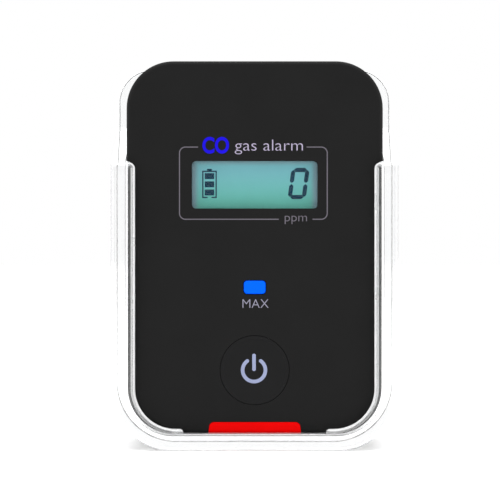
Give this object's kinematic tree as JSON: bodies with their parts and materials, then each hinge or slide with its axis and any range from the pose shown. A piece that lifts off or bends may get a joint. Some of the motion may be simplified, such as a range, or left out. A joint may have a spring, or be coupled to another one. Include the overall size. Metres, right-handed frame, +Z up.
{
  "type": "portable carbon monoxide alarm",
  "caption": "Pocket carbon monoxide alarm with a small display, test and power keys and a red alarm lens, standing in a clear slide-in holder with a sprung belt clip.",
  "frame": {"origin": "centre of the bottom of the whole object, on the surface it stands on", "axes": "+Z up, the display faces -Y, +X to the right as read"},
  "size_m": [0.067, 0.0357, 0.0914],
  "materials": {
    "clear_plastic": "clear, polished",
    "clip_plastic": "frosted clear",
    "steel": "zinc-plated steel",
    "black_plastic": "fine moulded texture",
    "seal_rubber": "soft, matt",
    "window_plastic": "clear, polished",
    "lcd": "teal reflective display",
    "diffuser": "milky",
    "elastomer": "layered elastomer",
    "key_black": "fine moulded texture",
    "key_blue": "blue, glossy",
    "switch_black": "moulded",
    "red_lens": "red, translucent",
    "led_red": "clear epoxy with a red tint",
    "board_green": "solder mask on fibreglass",
    "chip_black": "moulded epoxy",
    "component_tan": "chip parts",
    "sensor_can": "steel can",
    "filter_white": "porous membrane",
    "gold_pin": "plated",
    "sounder_black": "moulded",
    "cradle_plastic": "moulded",
    "cell_sleeve": "printed sleeve, plain",
    "nickel": "nickel-plated spring steel"
  },
  "bodies": {
    "holder_body": {"holder": "clear_plastic", "clip_pin": "steel", "clip_spring": "steel"},
    "monitor_body": {"front_shell": "black_plastic", "rear_shell": "black_plastic", "shell_seal": "seal_rubber", "battery_cover": "black_plastic", "shell_screws": "steel", "cover_screw": "steel", "display_window": "window_plastic", "lcd_glass": "lcd", "lcd_backlight": "diffuser", "lcd_contacts": "elastomer", "lcd_frame": "key_black", "power_switch": "switch_black", "max_switch": "switch_black", "alarm_lens": "red_lens", "alarm_leds": "led_red", "circuit_board": "board_green", "microcontroller": "chip_black", "board_components": "component_tan", "gas_sensor": "sensor_can", "sensor_filter": "filter_white", "sensor_pins": "gold_pin", "sounder": "sounder_black", "vent_membranes": "filter_white", "battery_holder": "cradle_plastic", "battery_cell_left": "cell_sleeve", "battery_cell_right": "cell_sleeve", "battery_bridge": "nickel", "battery_contacts": "nickel", "battery_springs": "nickel"},
    "power_key": {"power_button": "key_black"},
    "max_key": {"max_button": "key_blue"},
    "clip": {"clip_lever": "clip_plastic"}
  },
  "joints": [
    {"name": "monitor_slide", "type": "slide", "parent": "holder_body", "child": "monitor_body", "axis": [0, 0, 1], "range_m": [0, 0.095]},
    {"name": "power_press", "type": "slide", "parent": "monitor_body", "child": "power_key", "axis": [0, 1, 0], "range_m": [0, 0.0006], "stiffness_N_per_m": 1500},
    {"name": "max_press", "type": "slide", "parent": "monitor_body", "child": "max_key", "axis": [0, 1, 0], "range_m": [0, 0.0006], "stiffness_N_per_m": 1500},
    {"name": "clip_hinge", "type": "hinge", "parent": "holder_body", "child": "clip", "pos_m": [0, 0.01365, 0.062], "axis": [1, 0, 0], "range_deg": [0, 14], "stiffness_Nm_per_rad": 0.4}
  ]
}
